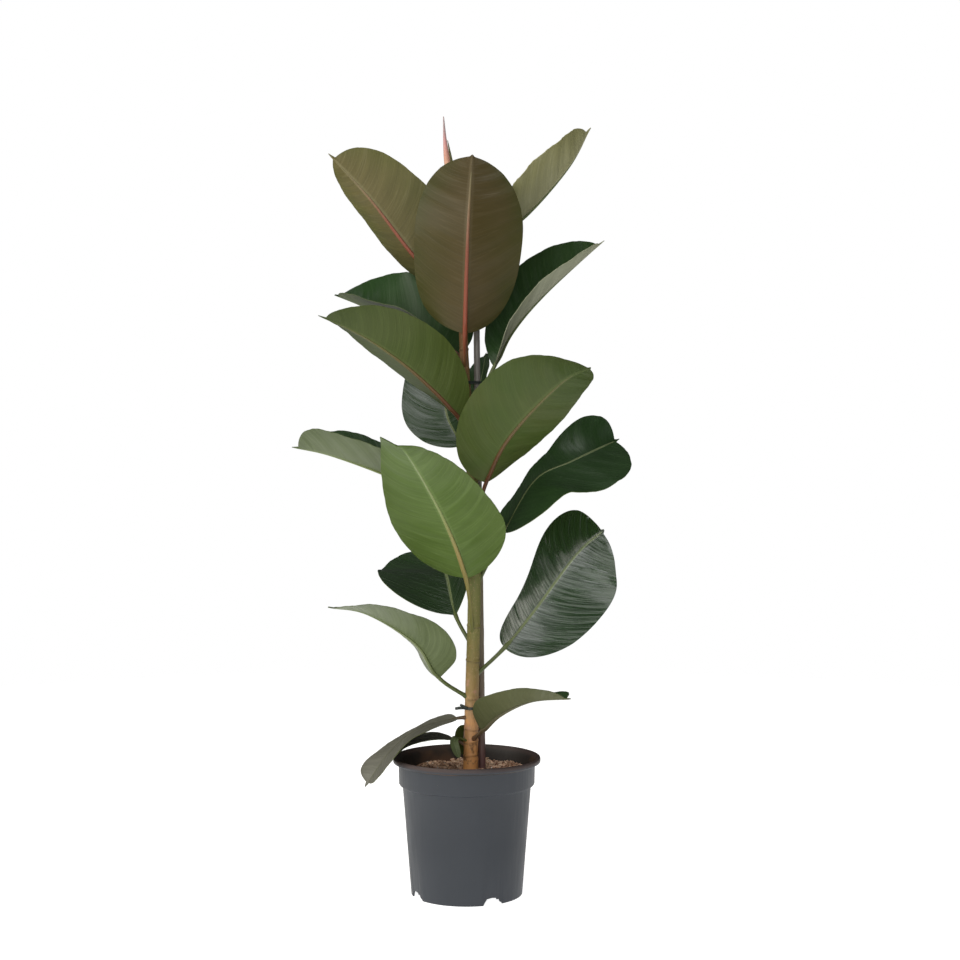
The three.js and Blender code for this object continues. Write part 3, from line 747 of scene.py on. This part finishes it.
def makeRod(name, path, radii, rows, around, finish, wobble=0.0):
    points = [Vector((*p, r)) for p, r in zip(path, radii)]

    def pointAt(x):
        return curvePoint(points, min(max(x, 0), 1) * (len(points) - 1))

    def placeVertex(x, y):
        here = pointAt(x)
        along = (pointAt(x + 0.01).xyz - pointAt(x - 0.01).xyz).normalized()
        side = Vector((1, 0, 0)) if abs(along.x) < 0.9 else Vector((0, 1, 0))
        side = (side - side.dot(along) * along).normalized()
        turn = fullTurn * y
        radius = here.w * math.sqrt(ease(0, 0.01, x) * ease(0, 0.01, 1 - x))
        radius *= 1 + wobble * noise.noise(Vector((math.cos(turn), math.sin(turn), here.z / 6)))
        return (here.xyz + radius * (side * math.cos(turn) + along.cross(side) * math.sin(turn))) * mm

    piece = gridPiece(name, rows, around, placeVertex, weld=True)
    piece.data.materials.append(finish)
    smooth(piece, 60)
    return piece


cane = {
    "bottom": (21, 9, 40), "top": (12.4, 15.3, 745), "radiusLow": 5, "radiusTop": 4,
    "steps": 60, "joints": (0.2, 0.42, 0.64, 0.86), "jointRise": 0.25, "jointHalf": 0.012, "wobble": 0.03,
    "colours": [(0.17, "#6c4846"), (0.24, "#7d6c58"), (0.4, "#77704e"), (0.7, "#8f8b84")],
}


# weathered cane: thin grey-brown skin with darker long fibres
def caneFinish():
    material, tree = newFinish("weathered cane")
    place = objectPlace(tree)
    fibre = noiseAt(tree, place, (1100, 1100, 25), 3.0)
    skin = colourRamp(tree, heightOf(tree, place), cane["colours"])
    colour = blendColour(tree, times(tree, fibre, 0.7), skin, "#544a48")
    closeFinish(tree, colour, 0.4, 1.5, fibre, 0.2, 0.6)
    return material


def caneAt(z):
    share = (z - cane["bottom"][2]) / (cane["top"][2] - cane["bottom"][2])
    centre = Vector(cane["bottom"]).lerp(Vector(cane["top"]), share)
    return centre, cane["radiusLow"] + (cane["radiusTop"] - cane["radiusLow"]) * share


def makeCane():
    path, radii = [], []
    bottom, top = cane["bottom"][2], cane["top"][2]
    for share in [i / cane["steps"] for i in range(cane["steps"] + 1)]:
        centre, radius = caneAt(bottom + (top - bottom) * share)
        nearest = min(abs(share - joint) for joint in cane["joints"])
        path.append(centre)
        radii.append(radius + cane["jointRise"] * bell(nearest, cane["jointHalf"]))
    piece = makeRod("support_cane", path, radii, 240, 28, caneFinish(), cane["wobble"])
    settle(piece, "cane", "stake")


makeCane()


# ---- soft garden ties: a band drawn round trunk and cane, the lower one with two free ends

tie = {
    "gap": 0.45, "thickness": 1.3, "height": 3.6, "low": 239, "high": 658,
    "trunkSteps": 40, "caneSteps": 24, "edge": 0.35, "endLift": 0.4,
    "longEnd": {"angle": 200, "out": 12, "rise": -1, "radius": 1.9},
    "shortEnd": {"angle": 240, "out": 10, "rise": 5, "radius": 1.6},
}


# soft PVC: dark green, dusty and dull
def tieFinish():
    material, tree = newFinish("soft PVC garden tie")
    dust = noiseAt(tree, objectPlace(tree), 400.0, 3.0)
    closeFinish(tree, blendColour(tree, dust, "#18211c", "#333d37"), 0.5, 1.5, dust, 0.2, 0.4)
    return material


def makeTie(name, z, finish):
    x, radius = trunkAt(z)
    centre, caneRadius = caneAt(z)
    first, second = Vector((x, 0)), centre.xy
    away = second - first
    direction = math.atan2(away.y, away.x)
    spread = math.acos((radius - caneRadius) / away.length)
    half, rise = tie["thickness"] / 2, tie["height"] / 2
    loop = []
    for middle, size, steps, start, sweep in (
            (first, radius, tie["trunkSteps"], direction + spread, fullTurn - 2 * spread),
            (second, caneRadius, tie["caneSteps"], direction - spread, 2 * spread)):
        loop += [(middle, size, start + sweep * i / steps) for i in range(steps + 1)]
    section = [(-half, -rise), (half, -rise), (half, rise), (-half, rise)]

    def placeVertex(along, around):
        middle, size, turn = loop[round(along * len(loop)) % len(loop)]
        out, up = section[round(around * 4) % 4]
        reach = size + tie["gap"] + half + out
        return Vector((middle.x + reach * math.cos(turn), middle.y + reach * math.sin(turn), z + up)) * mm

    piece = gridPiece(name, len(loop), len(section), placeVertex, weld=True)
    applyModifier(piece, "BEVEL", width=tie["edge"] * mm, segments=2, limit_method="ANGLE")
    piece.data.materials.append(finish)
    smooth(piece, 50)
    return piece


def makeTieEnd(name, end, finish):
    x, radius = trunkAt(tie["low"])
    reach = radius + tie["gap"] + tie["thickness"] / 2
    turn = math.radians(end["angle"])
    first = Vector((x + reach * math.cos(turn), reach * math.sin(turn), tie["low"]))
    last = first + Vector((-end["out"], 0, end["rise"]))
    middle = first.lerp(last, 0.5) + Vector((0, 0, tie["endLift"]))
    return makeRod(name, [first, middle, last], [end["radius"]] * 3, 24, 12, finish)


def makeTies():
    finish = tieFinish()
    low = makeTie("tie_band_low", tie["low"], finish)
    longEnd = makeTieEnd("tie_long_end", tie["longEnd"], finish)
    joinInto(low, longEnd, makeTieEnd("tie_short_end", tie["shortEnd"], finish))
    settle(low, "tie", "tie_low")
    settle(makeTie("tie_band_high", tie["high"], finish), "tie", "tie_high")


makeTies()
print("trunk, cane and ties done")


# ---- growing tip: the pink sheath and the next leaf, still rolled

shoot = {
    "sheathPath": [(-17.6, 0, 871), (-21.5, 0, 917), (-25.3, 0, 943), (-28, 0, 969), (-29.8, 0, 999)],
    "sheathRadii": [3.4, 4.4, 4, 2.3, 0.6],
    "sheathColours": [(0.87, "#b88452"), (0.925, "#e6bd92"), (0.945, "#e0a890"), (0.965, "#d49a98"),
                      (0.985, "#a8989a")],
    "rolledPath": [(-14, 0, 848), (-10.5, 9, 866), (-14, 9.5, 900), (-19, 9, 938), (-24.8, 7, 970)],
    "rolledRadii": [1.8, 1.9, 2.1, 2, 0.4],
}


# bud sheath: thin satin skin, pink where it is young, with fine long lines
def sheathFinish():
    material, tree = newFinish("bud sheath skin")
    place = objectPlace(tree)
    lines = noiseAt(tree, place, (1400, 1400, 30), 2.0)
    skin = colourRamp(tree, heightOf(tree, place), shoot["sheathColours"])
    colour = blendColour(tree, times(tree, lines, 0.25), skin, "#c07a60")
    closeFinish(tree, colour, 0.4, 1.42, lines, 0.2, 0.5)
    return material


# rolled leaf: the underside of a young leaf, olive and slightly waxy
def youngFinish():
    material, tree = newFinish("rolled young leaf")
    lines = noiseAt(tree, objectPlace(tree), (900, 900, 60), 2.0)
    closeFinish(tree, blendColour(tree, lines, "#565c30", "#868450"), 0.35, 1.45, lines, 0.25, 0.5)
    return material


sheath = makeRod("bud_sheath", shoot["sheathPath"], shoot["sheathRadii"], 140, 28, sheathFinish())
settle(sheath, "pink_sheath", "sheath")
rolled = makeRod("rolled_leaf", shoot["rolledPath"], shoot["rolledRadii"], 120, 20, youngFinish())
settle(rolled, "dark_leaf", "young_leaf")
print("growing tip done")


# ---- pot: injection-moulded polypropylene, satin, thin wall with stepped collar and thick lip

pot = {
    "height": 176.5, "lipRadius": 95, "lipDrop": 7.5, "collarRadius": 87.4, "collarFoot": 141,
    "footRadius": 71.6, "taper": 0.08, "wall": 1.7, "floor": 10, "middleRadius": 36, "steps": 144,
    "edge": 0.3, "notchAngles": (28, 118, 208, 298), "notchReach": 4,
    "notch": [(-13.5, -3), (-13.2, 0.4), (-11.0, 4.6), (-8.6, 8.2), (-2, 9.3), (4.2, 8.6), (5.0, 6.4),
              (8.2, 6.9), (9.6, 3.2), (13, 1.6), (13.5, -3)],
}
lipFoot = pot["height"] - pot["lipDrop"]


def wallRadius(z):
    return pot["footRadius"] + pot["taper"] * z


# moulded plastic: blue-grey, faint flow marks, brown inside from wet soil, lighter brown-grey on top of the
# lip from soil dust and a painted highlight
def potFinish():
    material, tree = newFinish("moulded polypropylene")
    place = objectPlace(tree)
    cloud = noiseAt(tree, place, 14.0, 4.0)
    flow = noiseAt(tree, place, (240, 240, 12), 3.0)
    grain = noiseAt(tree, place, 1600.0, 2.0)
    base = blendColour(tree, cloud, "#2a2e33", "#32363c")
    shell = blendColour(tree, times(tree, flow, 0.25), base, "#3c4048")
    parts = addNode(tree, "SeparateXYZ", {0: place}).outputs
    level = addNode(tree, "CombineXYZ", {0: parts[0], 1: parts[1]}).outputs[0]
    reach = addNode(tree, "VectorMath", {0: level}, operation="LENGTH").outputs["Value"]
    # inside is nearer the axis than this limit, which steps out under the lip
    limit = between(tree, parts[2], (lipFoot - 3) * mm, (lipFoot + 1) * mm,
                    (pot["collarRadius"] - 0.6) * mm, (pot["lipRadius"] - 2.4) * mm)
    upper = maths(tree, "GREATER_THAN", parts[2], (pot["collarFoot"] + 8) * mm)
    within = between(tree, maths(tree, "SUBTRACT", reach, limit), -0.3 * mm, 0.3 * mm, 1.0, 0.0)
    stained = blendColour(tree, between(tree, cloud, 0.5, 0.64, 0.0, 0.8), "#2e2926", "#644a36")
    # soil dust and a painted highlight: patchy lighter brown-grey over the top of the lip
    lip = between(tree, parts[2], (lipFoot + 1) * mm, (lipFoot + 4) * mm, 0.0, 1.0)
    dusty = times(tree, between(tree, cloud, 0.35, 0.55, 0.5, 1.0), lip)
    splashed = blendColour(tree, times(tree, within, upper), shell, stained)
    colour = blendColour(tree, dusty, splashed, "#463a37")
    rough = between(tree, flow, 0.3, 0.7, 0.46, 0.58)
    relief = maths(tree, "ADD", grain, times(tree, flow, 2.0))
    closeFinish(tree, colour, rough, 1.49, relief, 0.08, 0.35, {"Specular IOR Level": 0.3})
    return material


# half of the pot's section, from the axis out under the foot, up the wall and back inside to the axis
def potProfile():
    wall, middle, floor, height = pot["wall"], pot["middleRadius"], pot["floor"], pot["height"]
    collarFoot, collar, lip = pot["collarFoot"], pot["collarRadius"], pot["lipRadius"]
    inner = floor + wall
    return [
        (0, 0), (middle, 0), (middle + 3, floor), (wallRadius(0) - wall, floor), (wallRadius(0) - wall, 0),
        (wallRadius(0), 0), (wallRadius(70), 70), (wallRadius(collarFoot - 3.5), collarFoot - 3.5),
        (wallRadius(collarFoot) + 0.6, collarFoot - 1.6), (collar - 0.9, collarFoot),
        (collar, collarFoot + 1.6), (collar + 0.5, lipFoot - 3), (collar + 1.6, lipFoot - 0.8),
        (lip - 1.6, lipFoot),
        (lip - 0.4, lipFoot + 0.7), (lip, lipFoot + 2), (lip, height - 2.2), (lip - 0.5, height - 0.8),
        (lip - 1.5, height), (lip - 2.8, height - 0.4), (lip - 4, height - 2),
        (collar + 0.5 - wall, lipFoot - 3), (collar - wall, collarFoot + 0.5),
        (wallRadius(collarFoot) - wall, collarFoot - 3), (wallRadius(inner) - wall, inner),
        (middle, inner), (middle - 3, wall), (0, wall),
    ]


def makePot():
    profile = potProfile()

    def placeVertex(x, y):
        radius, z = profile[round(x * (len(profile) - 1))]
        return roundPoint(radius, fullTurn * y, z)

    piece = gridPiece("nursery_pot", len(profile) - 1, pot["steps"], placeVertex, weld=True)
    for angle in pot["notchAngles"]:
        cutter = notchCutter(angle)
        applyModifier(piece, "BOOLEAN", object=cutter, operation="DIFFERENCE", solver="EXACT")
        bpy.data.objects.remove(cutter)
    applyModifier(piece, "BEVEL", width=pot["edge"] * mm, segments=2, limit_method="ANGLE",
                  angle_limit=math.radians(40))
    piece.data.materials.append(potFinish())
    smooth(piece, 32)
    settle(piece, "pot_plastic", "pot")


def notchCutter(angle):
    turn = math.radians(angle)
    out = Vector((math.sin(turn), -math.cos(turn), 0))
    side = Vector((math.cos(turn), math.sin(turn), 0))
    cutter = primitive(bpy.ops.mesh.primitive_circle_add, vertices=len(pot["notch"]), fill_type="NGON")
    for vertex, (across, z) in zip(cutter.data.vertices, pot["notch"]):
        vertex.co = (out * (pot["footRadius"] - pot["notchReach"]) + side * across + Vector((0, 0, z))) * mm
    bpy.ops.object.mode_set(mode="EDIT")
    bpy.ops.mesh.select_all(action="SELECT")
    bpy.ops.mesh.extrude_region_move(TRANSFORM_OT_translate={"value": out * 2 * pot["notchReach"] * mm})
    bpy.ops.mesh.select_all(action="SELECT")
    bpy.ops.mesh.normals_make_consistent(inside=False)
    bpy.ops.object.mode_set(mode="OBJECT")
    return cutter


makePot()
print("pot done")


# ---- soil: coir and bark chips in low mounds, a few white grains

soil = {
    "level": 157, "mound": 3, "bottom": 12.2, "radius": 85.2, "wallGap": 0.6, "rows": 120,
    "underShare": 0.12, "sideShare": 0.3, "footIn": 1.3, "edgeDrop": 6, "edgeIn": 0.3, "collarStep": (1, 4),
    "crumbs": ((1.1, 4, 0), (0.6, 1.6, 3)), "crumbSink": 0.8,       # height, size, place in the noise
    "chipShapes": 6, "chipMargin": 3.5, "chipSizes": (0.6, 1.35), "chipLift": (-0.3, 1.2), "chipTilt": 0.45,
    "stemClear": ((13, trunkAt(160)[0], 0), (8, 19.8, 10)),     # near trunk and cane the chips are smaller
}
litter = [        # name, count, half sizes in mm, then the finish: name, dark, light, scale
    ("chips", 760, (3.4, 1.5, 0.7), ("bark chip", "#7c5846", "#f0ccb0", 170.0)),
    ("fibres", 240, (5.8, 0.7, 0.5), ("pale fibre", "#a88468", "#f4dcc6", 170.0)),
    ("grains", 60, (0.9, 0.8, 0.7), ("perlite grain", "#b8aea2", "#e6e0d8", 500.0)),
]


# crumbly and matt, mottled between a dark and a light tone
def soilFinish(name, dark, light, scale):
    material, tree = newFinish(name)
    inputs = {"Vector": objectPlace(tree), "Scale": scale, "Detail": 5.0, "Roughness": 0.65}
    clumps = addNode(tree, "TexNoise", inputs).outputs[0]
    colour = blendColour(tree, between(tree, clumps, 0.4, 0.6, 0.0, 1.0), dark, light)
    closeFinish(tree, colour, 0.9, 1.4, clumps, 0.6)
    return material


def soilHeight(x, y):
    mounds = math.sin(x / 14 + 1) * math.cos(y / 12) + 0.4 * math.sin((x + y) / 7)
    return soil["level"] + soil["mound"] * mounds


# underside from the middle out, then the side just inside the wall, then the top back to the middle
def soilSection(x, turn):
    underShare, sideShare = soil["underShare"], soil["sideShare"]
    if x < underShare:
        return (pot["footRadius"] - soil["footIn"]) * x / underShare, soil["bottom"]
    if x < sideShare:
        share = (x - underShare) / (sideShare - underShare)
        z = soil["bottom"] + (soil["level"] - soil["edgeDrop"] - soil["bottom"]) * share
        radius = wallRadius(min(z, pot["collarFoot"])) - pot["wall"] - soil["wallGap"]
        low, high = [pot["collarFoot"] + rise for rise in soil["collarStep"]]
        return radius + (soil["radius"] - soil["edgeIn"] - radius) * ease(low, high, z), z
    radius = soil["radius"] * (1 - (x - sideShare) / (1 - sideShare))
    px, py = radius * math.cos(turn), radius * math.sin(turn)
    crumbs = sum(high * noise.noise(Vector((px / size, py / size, at))) for high, size, at in soil["crumbs"])
    return radius, soilHeight(px, py) + crumbs - soil["crumbSink"]


# a sliver with two pointed ends and uneven rings of six between, lying along x
def chipShape(rng):
    chip = primitive(bpy.ops.mesh.primitive_uv_sphere_add, segments=6, ring_count=3, radius=1)
    chip.data.uv_layers.remove(chip.data.uv_layers[0])
    for vertex in chip.data.vertices:
        x, y, z = vertex.co
        vertex.co = (z, x * rng.uniform(0.85, 1.3), y * rng.uniform(0.85, 1.3))
    return chip


def dropChip(name, shapes, half, rng):
    reach = (soil["radius"] - soil["chipMargin"]) * math.sqrt(rng.random())
    turn = rng.uniform(0, fullTurn)
    x, y = reach * math.cos(turn), reach * math.sin(turn)
    grow = rng.uniform(*soil["chipSizes"])
    if any(math.hypot(x - stemX, y - stemY) < clear for clear, stemX, stemY in soil["stemClear"]):
        grow *= 0.5
    place = Vector((x, y, soilHeight(x, y) + rng.uniform(*soil["chipLift"]))) * mm
    tilt = soil["chipTilt"]
    turns = Euler((rng.uniform(0, lastTurn), rng.uniform(-tilt, tilt), rng.uniform(0, lastTurn)))
    mesh = rng.choice(shapes).data.copy()
    mesh.transform(Matrix.LocRotScale(place, turns, Vector(half) * grow * mm))
    chip = bpy.data.objects.new(name, mesh)
    bpy.context.collection.objects.link(chip)
    return chip


def makeSoil():
    rng = random.Random(31)

    def placeVertex(x, y):
        turn = fullTurn * y
        radius, z = soilSection(x, turn)
        return roundPoint(radius, turn, z)

    body = gridPiece("potting_soil", soil["rows"], soil["rows"], placeVertex, weld=True)
    body.data.materials.append(soilFinish("moist coir", "#72523f", "#d2ac90", 420.0))
    shapes = [chipShape(rng) for _ in range(soil["chipShapes"])]
    scattered = []
    for name, count, half, look in litter:
        finish = soilFinish(*look)
        for shape in shapes:
            shape.data.materials.clear()
            shape.data.materials.append(finish)
        scattered += [dropChip(name, shapes, half, rng) for _ in range(count)]
    for shape in shapes:
        bpy.data.objects.remove(shape)
    joinInto(body, *scattered)
    smooth(body, 40)
    settle(body, "potting_soil", "soil")


makeSoil()
print("soil done")


# ---- studio: round white floor that fades into white air, soft boxes, camera at the picture's height

floor = {"radius": 2.4, "solid": 1.0, "clear": 2.304, "sink": 0.4 * mm, "colour": "#f0f0ee", "glow": 0.95}
camera = {"place": (0.017, -2.2, 0.567), "pitch": 0.9, "focal": 1710, "imageWidth": 960, "sensor": 36}
room = {"seen": 1.0, "lit": 0.05}
lights = {        # place, target, width, height, watts, colour
    "key": ((-2.0, -1.15, 1.75), (0, 0, 0.5), 3.4, 2.2, 66, "#fffaf2"),
    "front": ((-0.1, -2.7, 0.9), (0, 0, 0.5), 1.6, 1.4, 20, "#ffffff"),
    "right": ((2.3, -0.9, 1.0), (0, 0, 0.6), 1.0, 1.6, 4, "#fbfcff"),
    "top": ((0.3, -0.2, 2.6), (0, 0, 0.4), 1.4, 1.4, 14, "#ffffff"),
}


def makeFloor():
    disc = primitive(bpy.ops.mesh.primitive_circle_add, vertices=96, radius=floor["radius"], fill_type="NGON")
    disc.name = "studio_floor"
    for vertex in disc.data.vertices:
        vertex.co.z = -floor["sink"]
    disc.data.materials.append(paperFinish())


# white paper, clear toward the rim
def paperFinish():
    material, tree = newFinish("white studio paper")
    place = objectPlace(tree)
    fibre = noiseAt(tree, place, 300.0, 2.0)
    bump = addNode(tree, "Bump", {"Height": fibre, "Strength": 0.1, "Distance": 0.1 * mm})
    inputs = {"Base Color": linear(floor["colour"]), "Roughness": 0.9, "Normal": bump.outputs[0],
              "Emission Color": linear("#ffffff"), "Emission Strength": floor["glow"]}
    paper = addNode(tree, "BsdfPrincipled", inputs).outputs[0]
    clear = addNode(tree, "BsdfTransparent").outputs[0]
    reach = addNode(tree, "VectorMath", {0: place}, operation="LENGTH").outputs["Value"]
    fade = between(tree, reach, floor["solid"], floor["clear"], 0.0, 1.0)
    surface = addNode(tree, "MixShader", {0: fade, 1: paper, 2: clear}).outputs[0]
    addNode(tree, "OutputMaterial", {"Surface": surface})
    return material


def putInRoom(name, data, place, turns):
    holder = bpy.data.objects.new(name, data)
    holder.location, holder.rotation_euler = place, turns
    bpy.context.collection.objects.link(holder)
    return holder


def makeLights():
    for name, (place, target, wide, high, power, colour) in lights.items():
        lamp = bpy.data.lights.new(name, "AREA")
        lamp.shape, lamp.size, lamp.size_y, lamp.energy = "RECTANGLE", wide, high, power
        lamp.color = linear(colour)[:3]
        aim = Vector(target) - Vector(place)
        putInRoom("light_" + name, lamp, place, aim.to_track_quat("-Z", "Y").to_euler())


# white for the camera, nearly dark for the object
def makeAir():
    world = bpy.data.worlds.new("studio air")
    world.use_nodes = True
    air = world.node_tree
    air.nodes.clear()
    seen, lit = [addNode(air, "Background", {"Color": (1, 1, 1, 1), "Strength": room[key]}).outputs[0]
                 for key in ("seen", "lit")]
    fromCamera = addNode(air, "LightPath").outputs["Is Camera Ray"]
    mix = addNode(air, "MixShader", {0: fromCamera, 1: lit, 2: seen})
    addNode(air, "OutputWorld", {"Surface": mix.outputs[0]})
    bpy.context.scene.world = world


def makeCamera():
    lens = bpy.data.cameras.new("picture_camera")
    lens.sensor_width = camera["sensor"]
    lens.lens = camera["focal"] * camera["sensor"] / camera["imageWidth"]
    lens.clip_end = 100
    turns = (math.radians(90 - camera["pitch"]), 0, 0)
    bpy.context.scene.camera = putInRoom("picture_camera", lens, camera["place"], turns)


makeFloor()
makeLights()
makeAir()
makeCamera()
bpy.context.scene.view_settings.view_transform = "Standard"
print("studio done")
